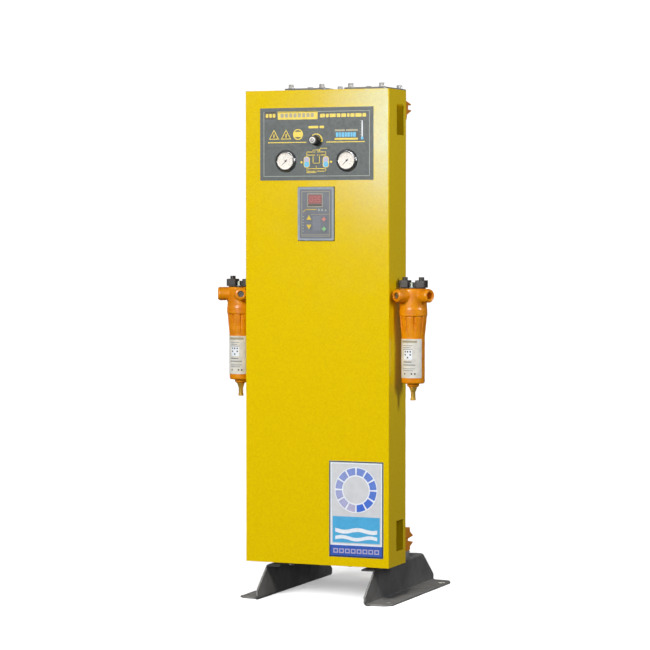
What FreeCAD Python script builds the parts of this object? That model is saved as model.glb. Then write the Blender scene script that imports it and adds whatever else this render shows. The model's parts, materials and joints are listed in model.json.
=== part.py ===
import FreeCAD, Part
import math
import os
from FreeCAD import Vector

# Twin-column compressed-air dryer on two bent feet, with a C-shaped sheet cover in front and
# an in-line filter at each side. Units are millimetres, +Z is up and -Y is the front.
# X = 0 is the middle of the width, Y = 0 the middle of the feet and Z = 0 the floor.

# ---- driving dimensions ----
foot_length = 453.0
cover_setback = 38.0
cover_width = 352.0
cover_depth = 111.8
cover_height = 1080.0
cover_bottom = 84.0
cover_sheet = 2.0
foot_top = 76.0
foot_sheet = 4.0
column_pitch = 148.4
plate_width = 104.0
plate_depth = 141.6
plate_thickness = 14.0
bolt_spacing_x = 76.6
bolt_spacing_y = 114.2
bottom_manifold_z = (90.0, 145.0)
top_manifold_z = (1104.0, 1160.3)
filter_x = 213.3
filter_port_z = 699.0

# ---- places worked out from them ----
front = -foot_length / 2 + cover_setback
half_cover = cover_width / 2
cover_top = cover_bottom + cover_height
column_y = front + 178.3
column_front = front + 109.8
filter_y = front + 56.7
column_xs = {"a": -column_pitch / 2, "b": column_pitch / 2}
sides = {"left": -1, "right": 1}

UP = Vector(0, 0, 1)
FORWARD = Vector(0, -1, 0)
BACK = Vector(0, 1, 0)
RIGHT = Vector(1, 0, 0)

nodes = {}


# ---- helpers ----
def put(name, *solids):
    """Keep one or more solids under a node name."""
    nodes.setdefault(name, []).extend(solids)


def box(x0, x1, y0, y1, z0, z1):
    return Part.makeBox(x1 - x0, y1 - y0, z1 - z0, Vector(x0, y0, z0))


def rod(radius, length, start, along):
    return Part.makeCylinder(radius, length, Vector(*start), along)


def ring(outer, inner, length, start, along):
    return rod(outer, length, start, along).cut(rod(inner, length, start, along))


def prism(points, along):
    """Closed outline of straight sides, pushed along a vector."""
    corners = [Vector(*p) for p in points]
    return Part.Face(Part.makePolygon(corners + corners[:1])).extrude(along)


def hexagon(across, length, start, along):
    """Hexagonal bar with its flats across the given size."""
    reach = across / math.sqrt(3)
    points = [(reach * math.cos(math.radians(60 * i)), reach * math.sin(math.radians(60 * i)), 0)
              for i in range(6)]
    bar = prism(points, Vector(0, 0, length))
    bar.Placement = FreeCAD.Placement(Vector(*start), FreeCAD.Rotation(UP, along))
    return bar


def round_plate(x0, x1, y0, y1, z0, z1, radius):
    """Plate with rounded upright corners."""
    plate = box(x0, x1, y0, y1, z0, z1)
    upright = [e for e in plate.Edges if abs(e.tangentAt(e.FirstParameter).z) > 0.9]
    return plate.makeFillet(radius, upright)


def panel(x0, x1, z0, z1, y0, y1, radius):
    """Upright panel facing the front, with rounded corners."""
    plate = box(x0, x1, y0, y1, z0, z1)
    across = [e for e in plate.Edges if abs(e.tangentAt(e.FirstParameter).y) > 0.9]
    return plate.makeFillet(radius, across)


def revolve(profile, x, y):
    """Solid of revolution about an upright axis, from (radius, height) points."""
    points = [Vector(r, 0, z) for r, z in profile]
    face = Part.Face(Part.makePolygon(points + points[:1]))
    solid = face.revolve(Vector(0, 0, 0), UP, 360)
    solid.translate(Vector(x, y, 0))
    return Part.Solid(solid) if solid.ShapeType != "Solid" else solid


def tube(route, radius, bend):
    """Round bar along straight runs with tangent arcs at the corners."""
    points = [Vector(*p) for p in route]
    edges = []
    start = points[0]
    for before, corner, after in zip(points, points[1:], points[2:]):
        way_in = (corner - before).normalize()
        way_out = (after - corner).normalize()
        turn = way_in.getAngle(way_out)
        reach = bend * math.tan(turn / 2)
        first = corner - way_in * reach
        last = corner + way_out * reach
        to_centre = (way_out - way_in).normalize()
        centre = corner + to_centre * (bend / math.cos(turn / 2))
        middle = centre - to_centre * bend
        edges.append(Part.LineSegment(start, first).toShape())
        edges.append(Part.Arc(first, middle, last).toShape())
        start = last
    edges.append(Part.LineSegment(start, points[-1]).toShape())
    path = Part.Wire(edges)
    circle = Part.Wire(Part.makeCircle(radius, points[0], (points[1] - points[0]).normalize()))
    return path.makePipeShell([circle], True, True)


def cap_screw(x, y, seat, direction, shank):
    """M8 socket-head screw with its washer; direction points from the seat out of the head."""
    washer = ring(8.0, 4.2, 1.6, (x, y, seat), direction)
    base = Vector(x, y, seat) + direction * 1.6
    head = rod(6.5, 8.0, tuple(base), direction)
    head = head.makeChamfer(0.6, [head.Edges[0]])
    top = base + direction * 4.0
    head = head.cut(hexagon(6.0, 5.0, tuple(top), direction))
    stem = rod(4.0, shank + 1.6, tuple(base), direction * -1)
    return head.fuse(stem).fuse(washer).removeSplitter()


# ---- feet: Z-shaped bent sheet, flange inward at the top and outward on the floor ----
web_x = 134.0
bend_outer = 5.5
low_bend = 3.0
flange_inner = 101.0
flange_outer = 187.5
# side outline of the whole foot and plan of its floor flange, as distances behind the cover's front
web_outline = [(-38.0, 10.0), (-38.0, 22.0), (25.0, foot_top), (342.0, foot_top), (418.0, 17.0),
               (418.0, 0.0), (-28.0, 0.0)]
web_edge = web_x + 1.0
flange_start = web_x + 8.0
floor_plan = [(flange_inner - 5.0, -38.0), (web_edge, -38.0), (flange_start, -22.0), (170.0, -20.0),
              (flange_outer, -6.0), (flange_outer, 386.0), (178.0, 411.0), (flange_start, 418.0),
              (flange_inner - 5.0, 418.0)]
floor_hole_x = 172.0
floor_hole_y = (16.0, 368.0)
floor_hole_r = 5.5
clearance_hole_r = 4.4


def z_section(side):
    """Cross-section of the foot sheet: top flange, web and floor flange with their bends."""
    start = front - 60.0
    top_x = web_x - bend_outer
    top_z = foot_top - bend_outer
    low_x = web_x + low_bend
    low_outer = low_bend + foot_sheet
    edges = []

    def point(x, z):
        return Vector(side * x, start, z)

    def line(a, b):
        edges.append(Part.LineSegment(point(*a), point(*b)).toShape())

    def arc(a, centre, radius, angle, b):
        middle = (centre[0] + radius * math.cos(angle), centre[1] + radius * math.sin(angle))
        edges.append(Part.Arc(point(*a), point(*middle), point(*b)).toShape())

    upper = (top_x, top_z)
    lower = (low_x, low_outer)
    line((flange_inner, foot_top), (top_x, foot_top))
    arc((top_x, foot_top), upper, bend_outer, math.pi / 4, (web_x, top_z))
    line((web_x, top_z), (web_x, low_outer))
    arc((web_x, low_outer), lower, low_bend, -3 * math.pi / 4, (low_x, foot_sheet))
    line((low_x, foot_sheet), (flange_outer, foot_sheet))
    line((flange_outer, foot_sheet), (flange_outer, 0.0))
    line((flange_outer, 0.0), (low_x, 0.0))
    arc((low_x, 0.0), lower, low_outer, -3 * math.pi / 4, (web_x - foot_sheet, low_outer))
    line((web_x - foot_sheet, low_outer), (web_x - foot_sheet, top_z))
    arc((web_x - foot_sheet, top_z), upper, bend_outer - foot_sheet, math.pi / 4,
        (top_x, foot_top - foot_sheet))
    line((top_x, foot_top - foot_sheet), (flange_inner, foot_top - foot_sheet))
    line((flange_inner, foot_top - foot_sheet), (flange_inner, foot_top))
    return Part.Face(Part.Wire(edges))


def foot(side):
    sheet = z_section(side).extrude(BACK * (foot_length + 120.0))
    outline = [(-300.0, front + y, z) for y, z in web_outline]
    sheet = sheet.common(prism(outline, RIGHT * 600.0))
    plan = [(side * x, front + y, -5.0) for x, y in floor_plan]
    sheet = sheet.common(prism(plan, UP * 100.0))
    for y in floor_hole_y:
        sheet = sheet.cut(rod(floor_hole_r, 20.0, (side * floor_hole_x, front + y, -5.0), UP))
    for y in (-bolt_spacing_y / 2, bolt_spacing_y / 2):
        place = (side * (column_pitch + bolt_spacing_x) / 2, column_y + y, foot_top - 10.0)
        sheet = sheet.cut(rod(clearance_hole_r, 20.0, place, UP))
    return sheet


for name, side in sides.items():
    put("foot_" + name, foot(side))


# ---- columns, their beds, end plates and screws ----
wall = 6.0
boss_r = 9.0
tapped_r = 4.0
column_half_x = 50.0
column_half_y = column_y - column_front
bottom_z = bottom_manifold_z[1] + 1.0
top_z = top_manifold_z[0] - 1.0
screen_thickness = 3.0


def corner_places(x):
    return [(x + sx * bolt_spacing_x / 2, column_y + sy * bolt_spacing_y / 2)
            for sx in (-1, 1) for sy in (-1, 1)]


def chamber(x, z0, z1, gap):
    """Inside space of a column: a rounded shaft that leaves the four screw bosses."""
    inside = round_plate(x - column_half_x + wall + gap, x + column_half_x - wall - gap,
                         column_y - column_half_y + wall + gap, column_y + column_half_y - wall - gap,
                         z0, z1, 10.0)
    for bx, by in corner_places(x):
        inside = inside.cut(rod(boss_r + gap, z1 - z0, (bx, by, z0), UP))
    return inside.removeSplitter()


def column(x):
    """Extruded tube with a screw boss in each corner and shallow grooves down its faces."""
    body = round_plate(x - column_half_x, x + column_half_x, column_y - column_half_y,
                       column_y + column_half_y, bottom_z, top_z, 12.0)
    body = body.cut(chamber(x, bottom_z, top_z, 0.0))
    for groove in (-24.0, 0.0, 24.0):
        for sx in (-1, 1):
            gx = x + sx * column_half_x
            body = body.cut(box(gx - 1.5, gx + 1.5, column_y + groove - 3, column_y + groove + 3,
                                bottom_z, top_z))
        gy = column_y + column_half_y
        body = body.cut(box(x + groove * 0.8 - 3, x + groove * 0.8 + 3, gy - 1.5, gy + 1.5,
                            bottom_z, top_z))
    for bx, by in corner_places(x):
        body = body.cut(rod(tapped_r, top_z - bottom_z, (bx, by, bottom_z), UP))
    return body.removeSplitter()


def end_plate(x, z0, z1, y1):
    plate = round_plate(x - plate_width / 2, x + plate_width / 2, column_y - plate_depth / 2, y1,
                        z0, z1, 8.0)
    for bx, by in corner_places(x):
        plate = plate.cut(rod(clearance_hole_r, z1 - z0, (bx, by, z0), UP))
    rim = [e for e in plate.Edges if abs(e.BoundBox.ZMin - z1) < 0.01 and e.Length > 60]
    return plate.makeChamfer(0.8, rim)


plate_top = top_manifold_z[1] + plate_thickness
for letter, x in column_xs.items():
    put("column_" + letter, column(x))
    bed_low = bottom_z + screen_thickness + 2.0
    bed_high = top_z - screen_thickness - 2.0
    put("desiccant_bed_" + letter, chamber(x, bed_low, bed_high, 0.3))
    for z in (bed_low - screen_thickness, bed_high):
        screen = chamber(x, z, z + screen_thickness, 0.3)
        for i in range(-2, 3):
            for j in range(-3, 4):
                screen = screen.cut(rod(2.0, screen_thickness, (x + i * 10, column_y + j * 10, z), UP))
        put("bed_screens", screen)
    put("top_plate_" + letter, end_plate(x, top_manifold_z[1], plate_top, column_y + plate_depth / 2))
    put("bottom_plate_" + letter, end_plate(x, foot_top, bottom_manifold_z[0], front + 277.8))
    for bx, by in corner_places(x):
        put("top_plate_screws", cap_screw(bx, by, plate_top, UP, 95.0))
        on_foot = abs(bx) > flange_inner
        seat = foot_top - foot_sheet if on_foot else foot_top
        put("bottom_plate_screws", cap_screw(bx, by, seat, UP * -1, seat - foot_top + 95.0))
    for z in (bottom_manifold_z[1], top_z):
        gasket = round_plate(x - 49.0, x + 49.0, column_y - 67.0, column_y + 67.0, z, z + 1.0, 12.0)
        gasket = gasket.cut(chamber(x, z, z + 1.0, 0.0))
        for bx, by in corner_places(x):
            gasket = gasket.cut(rod(clearance_hole_r, 1.0, (bx, by, z), UP))
        put("column_gaskets", gasket)


# ---- cast manifolds above and below the columns, with a dovetail rail along the back ----
manifold_half = 124.0
column_port_r = 14.0
shuttle_radius = 11.0
shuttle_stroke = 16.0
land_width = 30.0
plug_depth = 16.0


def manifold(profile, bore_z, face_z, into):
    """Cast block across both columns; profile is its side outline as (y from front, z)."""
    block = prism([(-manifold_half, front + y, z) for y, z in profile], RIGHT * 2 * manifold_half)
    block = block.cut(rod(shuttle_radius, 2 * manifold_half, (-manifold_half, column_y, bore_z), RIGHT))
    for x in column_xs.values():
        block = block.cut(rod(column_port_r, abs(face_z - bore_z), (x, column_y, face_z), into))
        for bx, by in corner_places(x):
            block = block.cut(rod(clearance_hole_r, 200.0, (bx, by, bore_z - 100.0), UP))
    return block


top_profile = [(109.8, top_manifold_z[0]), (253.5, top_manifold_z[0]), (257.5, 1116.1),
               (283.9, 1125.2), (283.9, 1128.2), (264.0, 1128.2), (264.0, 1138.8),
               (283.9, 1138.8), (283.9, 1141.4), (251.4, 1148.3), (249.0, top_manifold_z[1]),
               (109.8, top_manifold_z[1])]
bottom_profile = [(109.8, bottom_manifold_z[0]), (279.7, bottom_manifold_z[0]), (281.7, 99.5),
                  (300.3, 106.2), (300.3, 108.2), (267.0, 114.0), (267.0, 119.0),
                  (300.3, 122.0), (300.3, 124.5), (282.0, 134.0),
                  (279.5, bottom_manifold_z[1]),
                  (109.8, bottom_manifold_z[1])]
top_bore_z = 1132.0
bottom_bore_z = 118.0
pipe_x = 112.0
pipe_port_r = 8.0
bottom_manifold = manifold(bottom_profile, bottom_bore_z, bottom_manifold_z[1], UP * -1)
top_manifold = manifold(top_profile, top_bore_z, top_manifold_z[0], UP)
bottom_manifold = bottom_manifold.cut(rod(pipe_port_r, 30.0, (-pipe_x, column_front, bottom_bore_z),
                                          BACK))
top_manifold = top_manifold.cut(rod(pipe_port_r, 30.0, (pipe_x, column_front, top_bore_z), BACK))
put("bottom_manifold", bottom_manifold)
put("top_manifold", top_manifold)

# each manifold holds a sliding shuttle between two end plugs
for name, z in (("inlet_shuttle", bottom_bore_z), ("outlet_shuttle", top_bore_z)):
    # at either end of its stroke one land closes a column's port and the other leaves it open
    reach = column_pitch / 2 - shuttle_stroke + land_width / 2
    waist = rod(6.0, 2 * reach, (-reach, column_y, z), RIGHT)
    lands = [rod(shuttle_radius - 0.06, land_width, (x, column_y, z), RIGHT)
             for x in (-reach, reach - land_width)]
    put(name, waist.fuse(lands).removeSplitter())
    for side in (-1, 1):
        inner = (side * (manifold_half - plug_depth), column_y, z)
        plug = rod(shuttle_radius, plug_depth, inner, RIGHT * side)
        plug = plug.fuse(hexagon(27.0, 7.0, (side * manifold_half, column_y, z), RIGHT * side))
        put("shuttle_plugs", plug.removeSplitter())

# ---- exhaust valves in front of the lower manifold, with coils, plungers and silencers ----
valve_y0 = front + 66.0
for letter, x in column_xs.items():
    body = round_plate(x - 19, x + 19, valve_y0, column_front, 98.0, 138.0, 4.0)
    body = body.cut(rod(9.0, 24.0, (x, valve_y0, bottom_bore_z), BACK))
    stem_y = (valve_y0 + column_front) / 2
    body = body.fuse(rod(7.0, 48.0, (x, stem_y, 138.0), UP)).removeSplitter()
    body = body.cut(rod(5.0, 56.0, (x, stem_y, 126.0), UP))
    put("exhaust_valves", body)
    coil = round_plate(x - 16, x + 16, stem_y - 18, stem_y + 18, 140.0, 178.0, 4.0)
    coil = coil.cut(rod(7.1, 60.0, (x, stem_y, 130.0), UP))
    connector = box(x - 13, x + 13, stem_y - 42, stem_y - 18, 146.0, 172.0)
    put("solenoid_coils", coil.fuse(connector).removeSplitter())
    put("plunger_" + letter, rod(4.95, 30.0, (x, stem_y, 126.5), UP))
    shell = rod(12.0, 44.0, (x, valve_y0 - 44.0, bottom_bore_z), BACK)
    shell = shell.makeFillet(3.0, [shell.Edges[2]])
    neck = rod(8.9, 14.0, (x, valve_y0, bottom_bore_z), BACK)
    put("exhaust_silencers", shell.fuse(neck).removeSplitter())

# ---- front cover: one bent sheet with a front, two sides and inward rear returns ----
return_width = 28.0
cover_bend = 3.0
gauge_x = 74.8
gauge_z = 1003.3
gauge_hole = 20.6
knob_z = 1049.5
knob_hole = 7.0
controller = (-44.1, 44.1, 822.5, 943.8)
window_y = (49.5, 94.0)
window_z = ((116.5, 186.0), (1061.5, 1130.5))
bracket_z = ((205.0, 235.0), (1028.0, 1054.0))


def c_channel(inset):
    """Outer shape of the cover, set in by a distance, as a full block."""
    block = box(-half_cover + inset, half_cover - inset, front + inset, front + cover_depth - inset,
                cover_bottom - 50, cover_top + 50)
    upright = [e for e in block.Edges if abs(e.tangentAt(e.FirstParameter).z) > 0.9]
    return block.makeFillet(cover_bend - inset + 0.01, upright)


cover = c_channel(0.0).cut(c_channel(cover_sheet))
cover = cover.cut(box(-half_cover + return_width, half_cover - return_width,
                      front + cover_depth - 5, front + cover_depth + 5, 0, 1300))
cover = cover.common(box(-400, 400, front - 5, front + 400, cover_bottom, cover_top))
for z0, z1 in window_z:
    cover = cover.cut(box(-300, 300, front + window_y[0], front + window_y[1], z0, z1))
cover = cover.cut(rod(12.0, 600.0, (-300.0, filter_y, filter_port_z), RIGHT))
for x in (-gauge_x, gauge_x):
    cover = cover.cut(rod(gauge_hole, 20.0, (x, front - 10, gauge_z), BACK))
cover = cover.cut(rod(knob_hole, 20.0, (0, front - 10, knob_z), BACK))
cover = cover.cut(box(controller[0] + 6, controller[1] - 6, front - 10, front + 10,
                      controller[2] + 6, controller[3] - 6))
cover_screw_x = half_cover - 9.0
for z0, z1 in bracket_z:
    for side in (-1, 1):
        cover = cover.cut(rod(2.8, 20.0, (side * cover_screw_x, front + 100, (z0 + z1) / 2), BACK))
put("front_cover", cover)

# flat brackets tie the cover's returns to the fronts of the columns
for z0, z1 in bracket_z:
    middle = (z0 + z1) / 2
    bracket = box(-half_cover + 4, half_cover - 4, column_front - 3, column_front, z0, z1)
    for side in (-1, 1):
        bracket = bracket.cut(rod(2.5, 10.0, (side * cover_screw_x, column_front - 6, middle), BACK))
        bracket = bracket.cut(rod(3.3, 10.0, (side * column_pitch / 2, column_front - 6, middle), BACK))
        head = rod(5.0, 2.8, (side * column_pitch / 2, column_front - 5.8, middle), BACK)
        shank = rod(3.0, 3.0, (side * column_pitch / 2, column_front - 3.0, middle), BACK)
        put("bracket_screws", head.fuse(shank).removeSplitter())
        rear = front + cover_depth
        head = rod(4.75, 2.7, (side * cover_screw_x, rear, middle), BACK)
        shank = rod(2.4, 5.5, (side * cover_screw_x, rear - 5.5, middle), BACK)
        put("cover_screws", head.fuse(shank).removeSplitter())
    put("cover_brackets", bracket)

# ---- control label and information plate on the cover's front ----
label = panel(-138.5, 138.5, 959.5, 1124.0, front - 0.8, front, 1.0)
for x in (-gauge_x, gauge_x):
    label = label.cut(rod(gauge_hole, 20.0, (x, front - 10, gauge_z), BACK))
label = label.cut(rod(knob_hole, 20.0, (0, front - 10, knob_z), BACK))
put("control_label", label)
put("info_plate", panel(31.4, 163.4, 105.0, 323.6, front - 0.5, front, 1.5))

# ---- purge valve behind the label and its knob in front ----
valve = hexagon(22.0, 34.0, (0, front + 4, knob_z), BACK)
collar = rod(6.9, 6.0, (0, front - 2, knob_z), BACK)
valve = valve.fuse(collar).removeSplitter().cut(rod(3.5, 26.0, (0, front - 3, knob_z), BACK))
put("purge_valve_body", valve)
knob_face = front - 2.4
skirt_length = 5.0
barrel_r = 10.2
groove_count = 12
groove_r = 1.5
groove_circle = barrel_r + 0.4
skirt = rod(11.8, skirt_length, (0, knob_face, knob_z), FORWARD)
barrel = rod(barrel_r, 17.0, (0, knob_face - skirt_length, knob_z), FORWARD)
for i in range(groove_count):
    angle = 2 * math.pi * i / groove_count
    start = (groove_circle * math.cos(angle), knob_face - skirt_length - 0.5,
             knob_z + groove_circle * math.sin(angle))
    barrel = barrel.cut(rod(groove_r, 20.0, start, FORWARD))
spindle = rod(3.44, 24.0, (0, front + 21.6, knob_z), FORWARD)
put("purge_knob", skirt.fuse(barrel).fuse(spindle).removeSplitter())

# ---- pressure gauges: case, dial, needle, window and bezel ----
dial_front = front - 2.2
needle_angle = math.radians(225)
for side, letter in ((-1, "a"), (1, "b")):
    x = side * gauge_x
    case = rod(20.3, 26.0, (x, front - 1.0, gauge_z), BACK)
    flange = ring(23.6, 17.0, 4.2, (x, front - 0.8, gauge_z), FORWARD)
    case = case.fuse(flange).cut(rod(19.0, 23.0, (x, front - 5.0, gauge_z), BACK))
    stem = rod(5.0, 18.0, (x, front + 25, gauge_z), BACK)
    wrench_flats = hexagon(14.0, 8.0, (x, front + 25, gauge_z), BACK)
    case = case.fuse(stem).fuse(wrench_flats).removeSplitter()
    put("gauge_cases", case)
    dial = rod(18.8, 0.8, (x, dial_front, gauge_z), BACK)
    dial = dial.cut(rod(1.06, 4.0, (x, dial_front - 2, gauge_z), BACK))
    put("gauge_dials", dial)
    hub = rod(2.2, 0.8, (x, dial_front - 0.4, gauge_z), FORWARD)
    pivot = rod(1.0, 3.0, (x, dial_front - 0.4, gauge_z), BACK)
    tip = Vector(math.cos(needle_angle), 0, math.sin(needle_angle))
    across = Vector(-tip.z, 0, tip.x)
    hub_centre = Vector(x, dial_front - 0.5, gauge_z)
    blade_points = [hub_centre - tip * 5 - across * 0.9, hub_centre + tip * 14.5 - across * 0.3,
                    hub_centre + tip * 14.5 + across * 0.3, hub_centre - tip * 5 + across * 0.9]
    blade = prism([tuple(p) for p in blade_points], FORWARD * 0.5)
    put("gauge_needle_" + letter, hub.fuse(pivot).fuse(blade).removeSplitter())
    put("gauge_windows", rod(20.0, 1.4, (x, front - 5.0, gauge_z), FORWARD))
    bezel = ring(24.75, 20.4, 6.2, (x, front - 0.8, gauge_z), FORWARD)
    bezel = bezel.cut(ring(23.7, 20.3, 4.3, (x, front - 0.8, gauge_z), FORWARD))
    lip = ring(22.0, 18.6, 0.9, (x, front - 6.5, gauge_z), FORWARD)
    bezel = bezel.fuse(lip).removeSplitter()
    put("gauge_bezels", bezel)
    route = [(x, front + 43, gauge_z), (x, front + 70, gauge_z), (side * 50, front + 70, 1080),
             (side * 50, front + 70, 1112), (side * 50, column_front, 1112)]
    put("pressure_tubes", tube(route, 3.0, 9.0))
route = [(0, front + 38, knob_z), (0, front + 66, knob_z), (0, front + 66, 1112),
         (0, column_front, 1112)]
put("pressure_tubes", tube(route, 4.0, 12.0))

# ---- controller: housing with a raised frame, board, film, display window and four buttons ----
cx0, cx1, cz0, cz1 = controller
frame_front = front - 5.0
housing = panel(cx0, cx1, cz0, cz1, frame_front, front, 4.0)
housing = housing.fuse(box(cx0 + 6.5, cx1 - 6.5, front, front + 38, cz0 + 6.5, cz1 - 6.5))
housing = housing.cut(box(cx0 + 9, cx1 - 9, frame_front + 2.0, front + 36, cz0 + 9, cz1 - 9))
film_edge = 5.0
housing = housing.cut(panel(cx0 + film_edge, cx1 - film_edge, cz0 + film_edge, cz1 - film_edge,
                            frame_front - 1, frame_front + 0.8, 3.0))
display = (-17.5, 14.5, 906.0, 926.5)
buttons = {"up": (-16.0, 873.5), "down": (-16.0, 855.0), "stop": (20.7, 871.0), "start": (20.7, 849.0)}
button_r = 7.2
film = panel(cx0 + film_edge + 0.1, cx1 - film_edge - 0.1, cz0 + film_edge + 0.1,
             cz1 - film_edge - 0.1, frame_front + 0.1, frame_front + 0.8, 3.0)
film = film.cut(box(display[0], display[1], front - 10, front, display[2], display[3]))
housing = housing.cut(box(display[0] + 2, display[1] - 2, front - 10, front, display[2] + 2,
                          display[3] - 2))
for name, (x, z) in buttons.items():
    film = film.cut(rod(button_r + 0.15, 10.0, (x, front - 10, z), BACK))
    housing = housing.cut(rod(3.1, 10.0, (x, front - 10, z), BACK))
    cap = rod(button_r, 0.9, (x, frame_front + 0.05, z), FORWARD)
    cap = cap.makeChamfer(0.3, [cap.Edges[0]])
    stem = rod(3.0, 4.0, (x, frame_front + 0.05, z), BACK)
    put("button_" + name, cap.fuse(stem).removeSplitter())
housing = housing.removeSplitter()
put("controller_housing", housing)
put("controller_film", film)
put("display_window", panel(display[0] + 0.1, display[1] - 0.1, display[2] + 0.1, display[3] - 0.1,
                            frame_front + 0.2, frame_front + 0.8, 1.0))
board = box(cx0 + 10, cx1 - 10, front + 8, front + 9.6, cz0 + 10, cz1 - 10)
digits = box(display[0] + 3, display[1] - 3, front + 1, front + 8, display[2] + 3, display[3] - 3)
put("controller_board", board.fuse(digits).removeSplitter())

# ---- air pipes inside the cover, from the filters to the manifolds ----
nipple_inner = half_cover - 12.0
for name, side, end_z in (("inlet_pipe", -1, bottom_bore_z), ("outlet_pipe", 1, top_bore_z)):
    route = [(side * nipple_inner, filter_y, filter_port_z), (side * pipe_x, filter_y, filter_port_z),
             (side * pipe_x, filter_y, end_z), (side * pipe_x, column_front, end_z)]
    pipe = tube(route, 10.0, 24.0)
    put(name, pipe)

# ---- in-line filters beside the cover ----
head_r = 31.4
head_low = filter_port_z - 47.0
head_high = filter_port_z + 16.0
port_reach = 54.0
port_r = 15.4
port_bore = 8.3
port_depth = 14.0
spot_face_depth = 2.0
inner_bore = 5.0
lobe_reach = 56.0
lobe_r = 15.2
recess_depth = 6.0
bowl_low = head_low - 152.0
boss_length = 9.0
inner_reach = filter_x - half_cover - 0.3
# the outer port and the test plug look forward of the side-to-side line by these angles
port_swing = 24.0
lobe_swing = 66.0
label_edge = math.radians(66)
rib_count = 10
cap_offset = 19.8
cap_half = 12.0


def ball_boss(length, radius, round_r):
    """Round boss along +X from the origin with a well-rounded end."""
    boss = rod(radius, length, (0, 0, 0), RIGHT)
    end = [e for e in boss.Edges if e.BoundBox.XMin > length - 0.1]
    return boss.makeFillet(round_r, end)


def turned(shape, angle, x, y, z):
    shape.rotate(Vector(0, 0, 0), UP, angle)
    shape.translate(Vector(x, y, z))
    return shape


def level_direction(side, swing, sign):
    """Level direction away from the cover (sign 1) or towards it (-1), swung to the front."""
    angle = math.radians(swing)
    return Vector(sign * side * math.cos(angle), -math.sin(angle), 0)


def filter_head(side):
    x = side * filter_x
    middle = Vector(x, filter_y, filter_port_z)
    profile = [(0, head_low), (head_r - 0.6, head_low), (head_r + 0.6, head_low + 2),
               (head_r + 0.6, head_low + 16), (head_r - 0.4, head_low + 19),
               (head_r - 0.4, head_high - 3), (head_r - 3, head_high), (0, head_high)]
    head = revolve(profile, x, filter_y)
    outer = ball_boss(port_reach, port_r, 6.0)
    head = head.fuse(turned(outer, -port_swing if side > 0 else 180 + port_swing, *middle))
    inner = ball_boss(inner_reach, port_r, 3.0)
    head = head.fuse(turned(inner, 180 if side > 0 else 0, *middle))
    # a third boss carries the test plug, towards the front and the cover
    lobe = ball_boss(lobe_reach, lobe_r, 6.5)
    head = head.fuse(turned(lobe, 180 + lobe_swing if side > 0 else -lobe_swing, *middle))
    # outer port with a way to the middle of the bowl, inner port with a way to its rim
    away = level_direction(side, port_swing, 1)
    face = middle + away * port_reach
    head = head.cut(rod(port_bore + 3.5, spot_face_depth, tuple(face), away * -1))
    head = head.cut(rod(port_bore, spot_face_depth + port_depth, tuple(face), away * -1))
    head = head.cut(rod(6.0, port_reach, tuple(face), away * -1))
    head = head.cut(rod(7.5, 50.0, (x, filter_y, filter_port_z - 50.0), UP))
    face = (x - side * inner_reach, filter_y, filter_port_z)
    head = head.cut(rod(port_bore, port_depth, face, RIGHT * side))
    head = head.cut(rod(inner_bore, 20.0, face, RIGHT * side))
    head = head.cut(rod(3.5, 50.0, (x - side * 19.0, filter_y, filter_port_z - 50.0), UP))
    # the test plug sits at the bottom of a recess
    direction = level_direction(side, lobe_swing, -1)
    seat = middle + direction * (lobe_reach - recess_depth)
    thread = middle + direction * (lobe_reach - recess_depth - 6.0)
    head = head.cut(rod(7.0, recess_depth + 1.0, tuple(seat), direction))
    head = head.cut(rod(5.0, 7.0, tuple(thread), direction))
    plug = rod(5.0, 7.0, tuple(thread), direction).fuse(rod(6.6, 2.6, tuple(seat), direction))
    socket_floor = seat + direction * 1.0
    plug = plug.cut(hexagon(5.0, 3.0, tuple(socket_floor), direction))
    put("filter_test_plugs", plug.removeSplitter())
    # thread of the bowl inside the head
    head = head.cut(rod(27.5, 14.0, (x, filter_y, head_low - 1), UP))
    return head.removeSplitter()


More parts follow.
